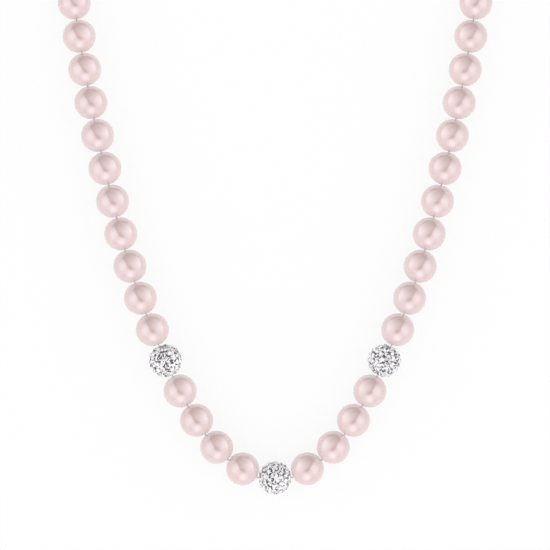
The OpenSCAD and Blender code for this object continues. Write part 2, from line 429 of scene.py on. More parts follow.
class MottleGroup(EffectGroup):
    """Soft clouds and the height that goes with them."""

    NAME = "soft mottle"
    INPUTS = {"Vector": "Vector", "Scale": "Float", "Detail": "Float", "Seed": "Float"}
    OUTPUTS = ("Mask", "Height")
    EDGES = (0.3, 0.7)

    @classmethod
    def write(cls, writer: NodeWriter, given: Outputs) -> tuple[Feed, ...]:
        """Writes one noise in four dimensions, the fourth of them the seed.

        Args:
            writer: the group's nodes.
            given: its inputs.

        Returns:
            The mask and the height.
        """
        noise = writer.add("ShaderNodeTexNoise", noise_dimensions="4D", W=given["Seed"], Roughness=0.55)
        for name in ("Vector", "Scale", "Detail"):
            writer.feed(noise.inputs[name], given[name])
        return writer.ramp(noise, *cls.EDGES), noise


class PolishGroup(EffectGroup):
    """Fine rubbed lines left by polishing, with darker tarnish between them."""

    NAME = "polish marks"
    INPUTS = {"Vector": "Vector", "Scale": "Float", "Stretch": "Vector"}
    OUTPUTS = ("Rub", "Tarnish", "Height")
    RUB_EDGES = (0.35, 0.65)
    TARNISH_EDGES = (0.5, 0.75)
    TARNISH_SCALE = 0.35

    @classmethod
    def write(cls, writer: NodeWriter, given: Outputs) -> tuple[Feed, ...]:
        """Writes a stretched noise for the lines and a wider one for the tarnish.

        Args:
            writer: the group's nodes.
            given: its inputs.

        Returns:
            The rubbed lines, the tarnish and the height.
        """
        place, scale = given["Vector"], given["Scale"]
        drawn = writer.add("ShaderNodeVectorMath", place, given["Stretch"], operation="MULTIPLY")
        lines = writer.add("ShaderNodeTexNoise", Vector=drawn, Scale=scale, Detail=4.0)
        wide = writer.times(scale, cls.TARNISH_SCALE)
        clouds = writer.add("ShaderNodeTexNoise", Vector=place, Scale=wide, Detail=3.0)
        return writer.ramp(lines, *cls.RUB_EDGES), writer.ramp(clouds, *cls.TARNISH_EDGES), lines


class Surface(NodeWriter):
    """A material under construction: its Principled shader and the nodes that feed it."""

    def __init__(self, name: str) -> None:
        """Starts a material with an untouched Principled shader.

        Args:
            name: the material's name.
        """
        self.material = bpy.data.materials.new(name)
        self.material.use_nodes = True
        super().__init__(self.material.node_tree)
        self.shader = self.tree.nodes["Principled BSDF"]
        self.place = self.add("ShaderNodeTexCoord").outputs["Object"]

    def put(self, **values: Any) -> None:
        """Feeds or sets the shader's own sockets, with _ for a space in their names."""
        for name, value in values.items():
            self.feed(self.shader.inputs[name.replace("_", " ")], value)

    def group(self, effect: type[EffectGroup], **values: Any) -> Outputs:
        """Places a shared effect on Object coordinates and gives its outputs."""
        return self.add("ShaderNodeGroup", node_tree=effect.tree(), Vector=self.place, **values).outputs

    def attribute(self, name: str) -> Socket:
        """Reads a number that the piece carries."""
        return self.add("ShaderNodeAttribute", attribute_name=name).outputs["Fac"]

    def bump(self, height: Feed, strength: float, depth: float) -> None:
        """Feeds a height from 0 to 1 to the shader's normal, with its depth in mm."""
        node = self.add("ShaderNodeBump", Strength=strength, Distance=depth * MM, Height=height)
        self.put(Normal=node)


@dataclass(frozen=True)
class NacreFinish:
    """Pale pink pearl: a milky body under a bright thin lustre, chalky where it is drilled."""

    body: Colour = (0.720, 0.511, 0.471)
    bloom: Colour = (0.747, 0.532, 0.492)
    chalk: Colour = (0.640, 0.520, 0.505)
    lustre: Colour = (0.89, 0.87, 1.00)
    roughness: Span = (0.06, 0.09)
    hole_roughness: float = 0.35
    bead_tone: Span = (0.5, 0.25)
    cloud_share: float = 0.5

    def material(self) -> Material:
        """Builds the finish.

        Returns:
            The material that carries it.
        """
        surface = Surface("pearl nacre")
        clouds = surface.group(MottleGroup, Scale=260.0, Detail=2.0, Seed=1.7)
        grain = surface.group(MottleGroup, Scale=2600.0, Detail=3.0, Seed=4.1)
        tone = surface.math("MULTIPLY_ADD", surface.attribute("tone"), *self.bead_tone)
        blush = surface.math("MULTIPLY_ADD", clouds["Mask"], self.cloud_share, tone, clamp=True)
        hole = surface.attribute("hole")
        gloss = surface.ramp(grain["Mask"], 0.0, 1.0, *self.roughness)
        surface.put(
            Base_Color=surface.mix(hole, surface.mix(blush, self.body, self.bloom), self.chalk),
            Roughness=surface.math("MULTIPLY_ADD", hole, self.hole_roughness, gloss),
            IOR=2.82,
            Specular_Tint=(*self.lustre, 1.0),
            Coat_Weight=1.0,
            Coat_Roughness=0.05,
            Coat_IOR=1.8,
        )
        surface.bump(grain["Height"], strength=0.04, depth=0.02)
        return surface.material


@dataclass(frozen=True)
class CrystalFinish:
    """Foil backed cut crystal with painted reflections: each facet is painted dark, grey or clear, and
    groups of stones get painted dark patches.
    """

    dark: Colour = (0.042, 0.018, 0.046)
    grey: Colour = (0.420, 0.405, 0.425)
    clear: Colour = (0.975, 0.970, 0.980)
    # Painted dark patches over groups of stones, on the same noise as the clay's dark patches.
    painted_patch_edges: Span = (0.38, 0.62)
    cloud_share: float = 0.6
    facet_share: float = 0.4
    # Painted reflections: the edges at which each facet's number turns its colour from dark to grey and
    # from grey to clear.
    grey_reflection_edges: Span = (0.325, 0.335)
    clear_reflection_edges: Span = (0.335, 0.365)
    flaw_share: float = 0.12
    roughness: Span = (0.05, 0.12)

    def material(self) -> Material:
        """Builds the finish.

        Returns:
            The material that carries it.
        """
        surface = Surface("cut crystal")
        painted_patch_noise = surface.group(MottleGroup, Scale=1500.0, Detail=2.0, Seed=6.4)
        flaws = surface.group(MottleGroup, Scale=3000.0, Detail=2.0, Seed=8.3)
        # Painted dark patches over groups of stones.
        patch = surface.ramp(painted_patch_noise["Height"], *self.painted_patch_edges, 0.0, self.cloud_share)
        facet = surface.math("MULTIPLY_ADD", surface.attribute("facet"), self.facet_share, patch)
        # Painted reflections: each facet is painted dark, grey or clear by its number.
        painted_dim_facets = surface.mix(surface.ramp(facet, *self.grey_reflection_edges), self.dark, self.grey)
        light = surface.mix(surface.ramp(facet, *self.clear_reflection_edges), painted_dim_facets, self.clear)
        surface.put(
            Base_Color=surface.mix(surface.times(flaws["Mask"], self.flaw_share), light, self.grey),
            Roughness=surface.ramp(flaws["Mask"], 0.0, 1.0, *self.roughness),
            Metallic=0.45,
            Coat_Weight=1.0,
            Coat_Roughness=0.03,
            Coat_IOR=1.55,
        )
        return surface.material


@dataclass(frozen=True)
class ClayFinish:
    """Silver grey setting clay between the stones, with dark patches: partly the clay's own dark colour,
    partly painted shade in the gaps.
    """

    # The dark patches' colour: partly the clay's own, partly painted shade.
    deep: Colour = (0.044, 0.018, 0.048)
    raised: Colour = (0.860, 0.850, 0.865)
    clay_and_shade_edges: Span = (0.478, 0.503)
    grain_share: float = 0.2
    roughness: Span = (0.45, 0.7)

    def material(self) -> Material:
        """Builds the finish.

        Returns:
            The material that carries it.
        """
        surface = Surface("setting clay")
        grain = surface.group(MottleGroup, Scale=4200.0, Detail=4.0, Seed=2.2)
        # Dark patches, partly the clay's own dark colour and partly painted shade, on the same noise as
        # the crystal's painted dark patches.
        clay_and_shade_noise = surface.group(MottleGroup, Scale=1500.0, Detail=2.0, Seed=6.4)
        patch = surface.ramp(clay_and_shade_noise["Height"], *self.clay_and_shade_edges)
        light_clay_share = surface.math("MULTIPLY_ADD", grain["Mask"], self.grain_share, patch, clamp=True)
        surface.put(
            Base_Color=surface.mix(light_clay_share, self.deep, self.raised),
            Roughness=surface.ramp(grain["Mask"], 0.0, 1.0, *self.roughness),
        )
        surface.bump(grain["Height"], strength=0.3, depth=0.05)
        return surface.material


@dataclass(frozen=True)
class MetalFinish:
    """Polished metal with rubbed lines and a trace of tarnish."""

    name: str
    bright: Colour
    dull: Colour
    roughness: Span
    stretch: Colour = (1.0, 1.0, 1.0)
    scale: float = 1800.0
    tarnish_share: float = 0.45

    def material(self) -> Material:
        """Builds the finish.

        Returns:
            The material that carries it.
        """
        surface = Surface(self.name)
        marks = surface.group(PolishGroup, Scale=self.scale, Stretch=self.stretch)
        tarnish = surface.times(marks["Tarnish"], self.tarnish_share)
        surface.put(
            Base_Color=surface.mix(tarnish, self.bright, self.dull),
            Roughness=surface.ramp(marks["Rub"], 0.0, 1.0, *self.roughness),
            Metallic=1.0,
        )
        surface.bump(marks["Height"], strength=0.08, depth=0.02)
        return surface.material


class BeadTree(GeometryTree):
    """A drilled bead: the section of a ball and its bore, swept round the bore."""

    SECTION_POINTS = 72
    TURN_STEPS = 72
    LEAST = 0.001
    RIM_SHARES = (1.1, 1.75)
    SWELL_SCALE = 220.0
    SWELL_TOP = 0.62

    def __init__(self) -> None:
        """Writes the tree."""
        super().__init__("drilled bead")
        radius, bore, lip = (self.size(name) for name in ("Radius", "Bore Radius", "Lip"))
        middle = self.times(self.math("ADD", radius, bore), 0.5)
        section = self.section(radius, bore, lip, middle)
        path = self.add("GeometryNodeCurvePrimitiveCircle", Resolution=self.TURN_STEPS, Radius=middle)
        sweep = self.add("GeometryNodeCurveToMesh", Curve=path, Profile_Curve=section)
        self.end(self.placed(self.roughened(self.marks(sweep, bore))), smooth=True)

    def section(self, radius: Socket, bore: Socket, lip: Socket, middle: Feed) -> Node:
        """Draws half of the bead's section as a closed curve.

        Args:
            radius: the ball's radius.
            bore: the bore's radius.
            lip: how far the bore's rim is rounded.
            middle: the distance from the bore's axis to the point that the curve runs round.

        Returns:
            The curve, round the origin.
        """
        ring = self.add("GeometryNodeMeshCircle", Vertices=self.SECTION_POINTS)
        angle = self.ring_angle(self.SECTION_POINTS)
        across, along = self.math("COSINE", angle), self.math("SINE", angle)
        drop = self.square(self.times(middle, along))
        chord = self.math("SQRT", self.math("SUBTRACT", self.square(radius), drop))
        to_ball = self.math("SUBTRACT", chord, self.times(middle, across))
        inward = self.math("MAXIMUM", self.times(across, -1.0), self.LEAST)
        to_bore = self.math("DIVIDE", self.math("SUBTRACT", middle, bore), inward)
        reach = self.math("SMOOTH_MIN", to_ball, to_bore, lip)
        return self.outline(ring, self.vector(self.times(reach, across), self.times(reach, along), 0.0))

    def marks(self, mesh: Feed, bore: Socket) -> Node:
        """Stores how near each point is to the bore, and the bead's own tone.

        Args:
            mesh: the swept bead, with its bore along Z.
            bore: the bore's radius.

        Returns:
            The mesh with both attributes.
        """
        x, y, _ = self.split(self.add("GeometryNodeInputPosition"))
        out = self.math("SQRT", self.math("ADD", self.square(x), self.square(y)))
        near, far = (self.times(bore, share) for share in self.RIM_SHARES)
        holed = self.keep(mesh, "hole", self.ramp(out, near, far, 1.0, 0.0))
        return self.keep(holed, "tone", self.size("Tone"))

    def roughened(self, mesh: Feed) -> Node:
        """Makes the bead very slightly uneven, each seed in its own way.

        Args:
            mesh: the bead.

        Returns:
            The uneven bead.
        """
        kind = {"noise_dimensions": "4D", "Scale": self.SWELL_SCALE, "Detail": 1.0}
        noise = self.add("ShaderNodeTexNoise", **kind, W=self.size("Seed"))
        swell = self.times(self.math("SUBTRACT", noise, self.SWELL_TOP), self.size("Unevenness"))
        shift = self.scaled(self.add("GeometryNodeInputNormal"), swell)
        return self.add("GeometryNodeSetPosition", Geometry=mesh, Offset=shift)

    def placed(self, mesh: Feed) -> Node:
        """Lays the bore along the strand and moves the bead to its place.

        Args:
            mesh: the bead, with its bore along Z.

        Returns:
            The bead in its place.
        """
        lie = self.vector(-math.pi / 2, 0.0, self.size("Heading"))
        turn = self.add("FunctionNodeEulerToRotation", Euler=lie)
        place = self.size("Place", "NodeSocketVector")
        return self.add("GeometryNodeTransform", Geometry=mesh, Rotation=turn, Translation=place)


class StoneTree(GeometryTree):
    """Round brilliant stones, one on each point of the carrier, each turned its own way."""

    SEED = 11
    TILT = 7.0
    TABLE_LIFT = 0.95
    TIP_SHARE = 0.03
    TABLE_SHARE = 0.56
    CULET_SHARE = 0.2

    def __init__(self) -> None:
        """Writes the tree."""
        super().__init__("pave stones")
        radius, crown, depth = (self.size(name) for name in ("Stone Radius", "Crown", "Pavilion"))
        rings = self.add("GeometryNodeJoinGeometry")
        for corners, share, height in (
            (3, self.TIP_SHARE, crown),
            (8, self.TABLE_SHARE, self.times(crown, self.TABLE_LIFT)),
            (16, 1.0, 0.0),
            (8, self.CULET_SHARE, depth),
        ):
            reach = self.times(radius, share)
            circle = self.add("GeometryNodeMeshCircle", Vertices=corners, Radius=reach)
            lift = self.vector(0.0, 0.0, height)
            ring = self.add("GeometryNodeTransform", Geometry=circle, Translation=lift)
            self.feed(rings.inputs[0], ring)
        hull = self.add("GeometryNodeConvexHull", Geometry=rings)
        seats = self.add(
            "GeometryNodeInstanceOnPoints", Points=self.source, Instance=hull, Rotation=self.facing()
        )
        cut = self.add("GeometryNodeRealizeInstances", Geometry=seats)
        # Each face's random number picks its painted reflection in the crystal's finish.
        seed = self.size("Seed", "NodeSocketInt")
        glint = self.add("FunctionNodeRandomValue", data_type="FLOAT", Seed=seed)
        self.end(self.keep(cut, "facet", glint.outputs[1], "FACE"), smooth=False)

    def facing(self) -> Node:
        """Turns each stone's table outward, with its own spin and a slight tilt.

        Returns:
            Each stone's rotation.
        """
        kind = {"data_type": "FLOAT_VECTOR"}
        outward = self.add("GeometryNodeInputNamedAttribute", **kind, Name="outward")
        align = self.add("FunctionNodeAlignRotationToVector", axis="Z", Vector=outward)
        tilt = math.radians(self.TILT)
        least, most = (-tilt, -tilt, 0.0), (tilt, tilt, math.tau)
        spin = self.add("FunctionNodeRandomValue", least, most, **kind, Seed=self.SEED)
        own = self.add("FunctionNodeEulerToRotation", Euler=spin)
        return self.add(
            "FunctionNodeRotateRotation", rotation_space="LOCAL", Rotation=align, Rotate_By=own
        )


class SweepTree(GeometryTree):
    """A wire or a twisted cable along the carrier's chain of points."""

    SECTION_POINTS = 24
    BEND_STEPS = 10

    def __init__(self) -> None:
        """Writes the tree."""
        super().__init__("swept wire")
        chain = self.add("GeometryNodeMeshToCurve", Mesh=self.source)
        bends = {"Count": self.BEND_STEPS, "Limit_Radius": True, "Radius": self.size("Bend Radius")}
        bend = self.add("GeometryNodeFilletCurve", mode="POLY", Curve=chain, **bends)
        even = self.add("GeometryNodeResampleCurve", mode="LENGTH", Curve=bend, Length=self.size("Step"))
        gone = self.add("GeometryNodeSplineParameter").outputs["Length"]
        turns = self.math("DIVIDE", gone, self.size("Lay"))
        twist = self.add("GeometryNodeSetCurveTilt", Curve=even, Tilt=self.times(turns, math.tau))
        section = self.section()
        sweep = self.add("GeometryNodeCurveToMesh", Curve=twist, Profile_Curve=section, Fill_Caps=True)
        self.end(sweep, smooth=True)

    def section(self) -> Node:
        """Draws the section: round, with as many lobes as the cable has outer strands.

        Returns:
            The closed curve.
        """
        radius = self.size("Wire Radius")
        ring = self.add("GeometryNodeMeshCircle", Vertices=self.SECTION_POINTS, Radius=radius)
        half = self.times(self.ring_angle(self.SECTION_POINTS), self.times(self.size("Strands"), 0.5))
        lobe = self.math("SUBTRACT", self.math("ABSOLUTE", self.math("COSINE", half)), 1.0)
        share = self.math("MULTIPLY_ADD", lobe, self.size("Groove"), 1.0)
        return self.outline(ring, self.scaled(self.add("GeometryNodeInputPosition"), share))


@dataclass(frozen=True)
class StrandBead:
    """One place on the strand: the body there, its CAD nodes, and how it lies."""

    body: str
    nodes: tuple[str, ...]
    centre: Vector
    heading: float


@dataclass
class Strand:
    """Where the beads and the links between them lie, read from the frame."""

    links: dict[str, Vector] = field(default_factory=dict)
    bodies: dict[str, list[str]] = field(default_factory=dict)

    def __post_init__(self) -> None:
        """Reads the fold joints and the bodies."""
        behaviour = frame["record"]["behaviour"]
        self.bodies = behaviour["bodies"]
        for joint in behaviour["joints"]:
            self.links[joint["name"]] = Vector(joint["pos_m"]) / MM

    def link(self, side: Side, number: int) -> Vector:
        """Gives a link's point in millimetres; link 1 is next to the centre ball."""
        return self.links[f"fold_{side.value}_{number:02d}"]

    def link_count(self) -> int:
        """Gives the number of links on one side."""
        return sum(name.startswith("fold_left_") for name in self.links)

    def bead(self, side: Side, number: int) -> StrandBead:
        """Finds a bead of one side.

        Args:
            side: the half of the strand.
            number: 0 for the centre ball, then outward.

        Returns:
            The bead's place.
        """
        if number == 0:
            body = "centre"
            run = self.link(Side.LEFT, 1) - self.link(Side.RIGHT, 1)
        else:
            body = f"bead_{side.value}_{number:02d}"
            run = self.link(side, number + 1) - self.link(side, number)
        nodes = tuple(n for n in self.bodies[body] if n != "stringing_wire")
        centre = Fitting.of(nodes[0]).centre
        return StrandBead(body, nodes, centre, math.atan2(-run.x, run.y))

    def beads(self) -> Iterator[StrandBead]:
        """Goes through every bead, the centre ball first.

        Yields:
            Each bead's place.
        """
        yield self.bead(Side.LEFT, 0)
        for side in Side:
            for number in range(1, self.link_count()):
                yield self.bead(side, number)


@dataclass(frozen=True)
class Fitting:
    """The box that a CAD node takes up, mm."""

    centre: Vector
    size: Vector

    @classmethod
    def of(cls, node: str) -> "Fitting":
        """Reads a node's box from the frame."""
        low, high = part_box(node)
        return cls((low + high) / 2 / MM, (high - low) / MM)


@dataclass
class Pearl:
    """A drilled round pearl."""

    bead: StrandBead
    radius: float = 3.975
    bore_radius: float = 0.45
    lip: float = 0.22
    unevenness: float = 0.05
    seeds: int = 997
    seed_step: float = 0.37
    tones: int = 17

    def build(self, tree: BeadTree, finish: Material) -> None:
        """Makes the pearl and puts it in place of its CAD node.

        Args:
            tree: the shape of a drilled bead.
            finish: the nacre.
        """
        node = self.bead.nodes[0]
        seed = sum(ord(letter) * (place + 1) for place, letter in enumerate(node)) % self.seeds
        piece = tree.run(
            "nacre_" + node,
            dots(node, []),
            Radius=self.radius * MM,
            Bore_Radius=self.bore_radius * MM,
            Lip=self.lip * MM,
            Tone=(seed % self.tones) / (self.tones - 1),
            Seed=seed * self.seed_step,
            Unevenness=self.unevenness * MM,
            Heading=self.bead.heading,
            Place=list(self.bead.centre * MM),
            Finish=finish,
        )
        hang(piece, self.bead.body, Slot.PEARL, node)
        set_apart(piece)


@dataclass
class CrystalBall:
    """A pave ball: a drilled clay core and rings of round stones around its bore."""

    bead: StrandBead
    radius: float = 3.975
    bore_radius: float = 0.45
    rim_width: float = 0.3
    rim_gap: float = 0.06
    stone_radius: float = 0.675
    stone_gap: float = 0.08
    stone_rise: float = 0.22
    crown: float = 0.2295
    pavilion: float = 0.567
    first_turn: float = 1.5 * math.pi
    stagger: float = 0.5
    facet_seed: int = 5

    def seat_radius(self) -> float:
        """Gives the distance of a stone's girdle from the ball's centre."""
        table = StoneTree.TABLE_SHARE * self.stone_radius
        return math.sqrt(self.radius**2 - table**2) - self.crown

    def seats(self) -> list[Vector]:
        """Spreads the stones in rings round the bore.

        Returns:
            Each stone's direction from the ball's centre, with the bore along Z.
        """
        seat = self.seat_radius()
        room = self.stone_radius + self.stone_gap / 2
        rim = math.asin((self.bore_radius + self.rim_width) / (self.radius - self.stone_rise))
        first = rim + math.asin((self.stone_radius + self.rim_gap) / seat)
        rings = int((math.pi - 2 * first) / (2 * math.asin(room / seat))) + 1
        outward = []
        for ring in range(rings):
            polar = first + ring * (math.pi - 2 * first) / (rings - 1)
            count = int(math.pi / math.asin(room / (seat * math.sin(polar))))
            for number in range(count):
                turn = self.first_turn + (number + self.stagger * (ring % 2)) * math.tau / count
                around = Vector((math.cos(turn), math.sin(turn), 0.0))
                outward.append(around * math.sin(polar) + Vector((0.0, 0.0, math.cos(polar))))
        return outward

    def build(self, tree: StoneTree, stones: Material, clay: Material) -> None:
        """Sets the stones in place of their CAD node and dresses the core.

        Args:
            tree: the shape of the set stones.
            stones: the crystal's finish.
            clay: the core's finish.
        """
        core, node = self.bead.nodes
        lie = Euler((-math.pi / 2, 0.0, self.bead.heading)).to_matrix()
        outward = [lie @ direction for direction in self.seats()]
        carrier = dots(node, [self.bead.centre + d * self.seat_radius() for d in outward])
        way = carrier.attributes.new("outward", "FLOAT_VECTOR", "POINT")
        way.data.foreach_set("vector", [number for d in outward for number in d])
        piece = tree.run(
            "set_" + node,
            carrier,
            Stone_Radius=self.stone_radius * MM,
            Crown=self.crown * MM,
            Pavilion=-self.pavilion * MM,
            Seed=self.facet_seed,
            Finish=stones,
        )
        hang(piece, self.bead.body, Slot.CRYSTAL, node)
        dress(core, clay)
        set_apart(piece, frame["nodes"][core])


@dataclass
class StringingWire:
    """The cable through all beads, in one length for each link, and its two end loops."""

    strand: Strand
    radius: float = 0.2
    strands: int = 6
    groove: float = 0.16
    lay: float = 2.4
    step: float = 0.16
    bend: float = 3.0
    bend_reach: float = 0.6
    pass_gap: float = 0.45
    loop_radius: float = 1.05
    loop_turn: int = 120
    loop_step: int = 20
    ring_gap: float = 0.2
    roll_room: float = 0.05

    def build(self, tree: SweepTree, finish: Material) -> None:
        """Makes every length of the cable, from the centre outward, left side first.

        Args:
            tree: the shape of a swept wire.
            finish: the steel.
        """
        last = self.strand.link_count()
        for side in Side:
            for number in range(1, last):
                near, far = (self.strand.bead(side, place) for place in (number - 1, number))
                chain = [near.centre, self.strand.link(side, number), far.centre]
                piece = self.length(tree, f"cable_{side.value}_{number:02d}", chain, finish)
                self.join(piece, near, far.body, chain[1])
            near = self.strand.bead(side, last - 1)
            piece = self.length(tree, f"cable_loop_{side.value}", self.end_chain(side, near), finish)
            self.join(piece, near, f"end_{side.value}", self.strand.link(side, last))

    def length(self, tree: SweepTree, name: str, chain: Sequence[Vector], finish: Material) -> Piece:
        """Makes one length of the cable along a chain of points."""
        return tree.run(
            name,
            dots(name, chain, chained=True),
            Bend_Radius=self.bend * MM,
            Step=self.step * MM,
            Lay=self.lay * MM,
            Wire_Radius=self.radius * MM,
            Strands=float(self.strands),
            Groove=self.groove,
            Finish=finish,
        )

    def join(self, piece: Piece, near: StrandBead, body: str, link: Vector) -> None:
        """Bakes a length of cable in place, between the two bodies that it joins, and hides the CAD
        wire.

        Args:
            piece: the length of cable.
            near: the bead on the centre's side.
            body: the body on the clasp's side.
            link: the point where the cable bends, mm; not used.
        """
        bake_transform(piece)
        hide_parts("stringing_wire")
        log.info("%s bends between %s and %s", piece.name, near.body, body)

    def end_chain(self, side: Side, near: StrandBead) -> list[Vector]:
        """Gives the points of an end: through the crimp tube, round the loop and back.

        Args:
            side: the half of the strand.
            near: the last pearl of that half.

        Returns:
            The points, mm.
        """
        link = self.strand.link(side, self.strand.link_count())
        tube = Fitting.of(f"crimp_tube_{side.value}")
        ring = JumpRing(side)
        inward = Vector((-side.sign, 0.0, 0.0))
        mouth = tube.centre + inward * tube.size.x / 2
        tail = tube.centre - inward * tube.size.x / 2
        room = self.loop_room(ring, link.z) + self.roll_room
        centre = ring.loop_reach(link.z) + inward * (room + self.radius - self.loop_radius)
        beside = Vector((0.0, self.pass_gap / 2, 0.0))
        loop = [
            Vector((centre.x, mouth.y, link.z))
            + inward * self.loop_radius * math.cos(math.radians(turn))
            + Vector((0.0, self.loop_radius * math.sin(math.radians(turn)), 0.0))
            for turn in range(-self.loop_turn, self.loop_turn + 1, self.loop_step)
        ]
        return [near.centre, link, mouth - beside, *loop, mouth + beside, tail + beside]

    def loop_room(self, ring: "JumpRing", height: float) -> float:
        """Gives the room that a leaning ring needs inside the loop, mm."""
        lean = math.asin((height - ring.centre.z) / ring.radius)
        return ring.wire / 2 / math.cos(lean) + self.radius * math.tan(lean) + self.ring_gap


@dataclass
class CrimpTube:
    """A small tube pressed flat in its middle over two passes of cable."""

    side: Side
    wall: float = 0.3
    press: float = 0.2
    press_share: float = 0.22
    corner: float = 0.1
    corner_angles: tuple[int, ...] = (30, 60, 90)
    steps: int = 40
    turns: int = 48

    def build(self, finish: Material) -> None:
        """Makes the tube and puts it in place of its CAD node.

        Args:
            finish: the silver.
        """
        node = f"crimp_tube_{self.side.value}"
        box = Fitting.of(node)
        sheet = bmesh.new()
        rings = []
        for along, radius in self.profile(box.size.x / 2, box.size.y / 2):
            flat = 1.0 - self.press * math.exp(-((along / (box.size.x * self.press_share)) ** 2))
            ring = []
            for turn in range(self.turns):
                angle = math.tau * turn / self.turns
                offset = Vector((along, radius * math.cos(angle), radius * flat * math.sin(angle)))
                ring.append(sheet.verts.new((box.centre + offset) * MM))
            rings.append(ring)
        for first, second in zip(rings, rings[1:] + rings[:1]):
            for turn in range(self.turns):
                after = (turn + 1) % self.turns
                sheet.faces.new((first[turn], second[turn], second[after], first[after]))
        piece = solid("pressed_" + node, sheet, finish)
        hang(piece, f"end_{self.side.value}", Slot.SILVER, node)

    def profile(self, half: float, outer: float) -> list[Span]:
        """Draws the wall's section as a closed loop.

        Args:
            half: half of the tube's length.
            outer: the wall's outer radius.

        Returns:
            Places along the tube and the radius at each.
        """
        inner = outer - self.wall
        edge = half - self.corner
        top, bottom = outer - self.corner, inner + self.corner
        run = [-edge + 2 * edge * step / self.steps for step in range(self.steps + 1)]
        points = [(along, outer) for along in run]
        points += self.rounded(edge, top, 90) + self.rounded(edge, bottom, 0)
        points += [(-along, inner) for along in run[1:]]
        points += self.rounded(-edge, bottom, 270) + self.rounded(-edge, top, 180)
        return points[:-1]

    def rounded(self, along: float, radius: float, start: int) -> list[Span]:
        """Gives a corner's points, clockwise from a start angle in degrees."""
        angles = [math.radians(start - angle) for angle in self.corner_angles]
        return [(along + self.corner * math.cos(a), radius + self.corner * math.sin(a)) for a in angles]


class JumpRing:
    """A cut ring of round wire that stands on edge between a loop and the clasp."""

    CUT = 0.1
    CORNERS = 96
    STEP = 0.12

    def __init__(self, side: Side) -> None:
        """Reads the ring's place and sizes from its CAD node.

        Args:
            side: the half of the strand.
        """
        self.side = side
        self.node = f"jump_ring_{side.value}"
        box = Fitting.of(self.node)
        self.centre = box.centre
        self.wire = box.size.y
        self.radius = (box.size.x - self.wire) / 2

    def loop_reach(self, height: float) -> Vector:
        """Gives the ring's middle line at a height, on the side of the cable's loop, mm."""
        across = math.sqrt(self.radius**2 - (height - self.centre.z) ** 2)
        return Vector((self.centre.x + self.side.sign * across, self.centre.y, height))

    def build(self, tree: SweepTree, body: str, finish: Material) -> None:
        """Makes the ring and puts it in place of its CAD node.

        Args:
            tree: the shape of a swept wire.
            body: the body that carries it.
            finish: the silver.
        """
        open_angle = self.CUT / 2 / self.radius
        chain = []
        for corner in range(self.CORNERS + 1):
            angle = math.pi / 2 + open_angle + (math.tau - 2 * open_angle) * corner / self.CORNERS
            chain.append(self.centre + Vector((math.cos(angle), 0.0, math.sin(angle))) * self.radius)
        piece = tree.run(
            "bent_" + self.node,
            dots(self.node, chain, chained=True),
            Bend_Radius=0.0,
            Step=self.STEP * MM,
            Lay=1.0,
            Wire_Radius=self.wire / 2 * MM,
            Strands=1.0,
            Groove=0.0,
            Finish=finish,
        )
        hang(piece, body, Slot.SILVER, self.node)


@dataclass
class LobsterClasp:
    """The cast body, its sprung trigger and the rivet that the trigger turns on."""

    body_voxel: float = 0.09
    trigger_voxel: float = 0.06
    soften: float = 0.5
    soften_rounds: int = 10

    def build(self, silver: Material, steel: Material) -> None:
        """Makes the cast pieces and dresses the spring and the pin.

        Args:
            silver: the finish of the cast pieces and the pin.
            steel: the finish of the spring.
        """
        for node, body, voxel in (
            ("clasp_body", "clasp", self.body_voxel),
            ("clasp_trigger", "trigger", self.trigger_voxel),
        ):
            hang(self.cast(node, voxel, silver), body, Slot.SILVER, node)
        dress("clasp_spring", steel)
        dress("clasp_pin", silver)

    def cast(self, node: str, voxel: float, finish: Material) -> Piece:
        """Rounds a copy of a CAD node as casting and tumbling do.

        Args:
            node: the CAD node.
            voxel: the size of the cells that it is remade from, mm.
            finish: its material.

        Returns:
            The cast piece.
        """
        sheet = bmesh.new()
        sheet.from_mesh(frame["nodes"][node].data)
        piece = solid("cast_" + node, sheet, finish)
        remake = piece.modifiers.new("remake", "REMESH")
        remake.mode = "VOXEL"
        remake.voxel_size = voxel * MM
        remake.use_smooth_shade = True
        tumble = piece.modifiers.new("tumble", "SMOOTH")
        tumble.factor = self.soften
        tumble.iterations = self.soften_rounds
        settle(piece)
        return piece


@dataclass(frozen=True)
class FacePlace:
    """A place on the face of a ball that shows a light tent, in shares of the ball's radius."""

    across: Socket
    along: Socket

    def seen_from(self, writer: NodeWriter, centre: Span, way: Vector) -> tuple[Socket, Socket]:
        """Measures the place from another one.

        Args:
            writer: the lamp's nodes.
            centre: the place to measure from.
            way: the direction to measure in, of length 1.

        Returns:
            How far it lies along the way, and how far to the left of it.
        """
        x = writer.math("SUBTRACT", self.across, centre[0])
        y = writer.math("SUBTRACT", self.along, centre[1])
        ahead = writer.math("MULTIPLY_ADD", x, way.x, writer.times(y, way.y))
        return ahead, writer.math("MULTIPLY_ADD", y, way.x, writer.times(x, -way.y))


@dataclass(frozen=True)
class SoftSpot:
    """A soft patch of a light tent, placed as the face of a ball below shows it.

    Places and reaches are shares of the ball's radius, and the long way may be turned, in degrees.
    """

    centre: Span
    reach: Span
    gain: float
    turn: float = 0.0

    def shape(self, writer: NodeWriter, place: FacePlace) -> Feed:
        """Writes the patch.

        Args:
            writer: the lamp's nodes.
            place: the place on the ball's face.

        Returns:
            The light that the patch adds.
        """
        turn = math.radians(self.turn)
        ways = place.seen_from(writer, self.centre, Vector((math.cos(turn), math.sin(turn))))
        shares = [writer.math("DIVIDE", way, reach) for way, reach in zip(ways, self.reach)]
        far = writer.math("ADD", *(writer.square(share) for share in shares))
        return writer.times(writer.math("EXPONENT", writer.times(far, -1.0)), self.gain)


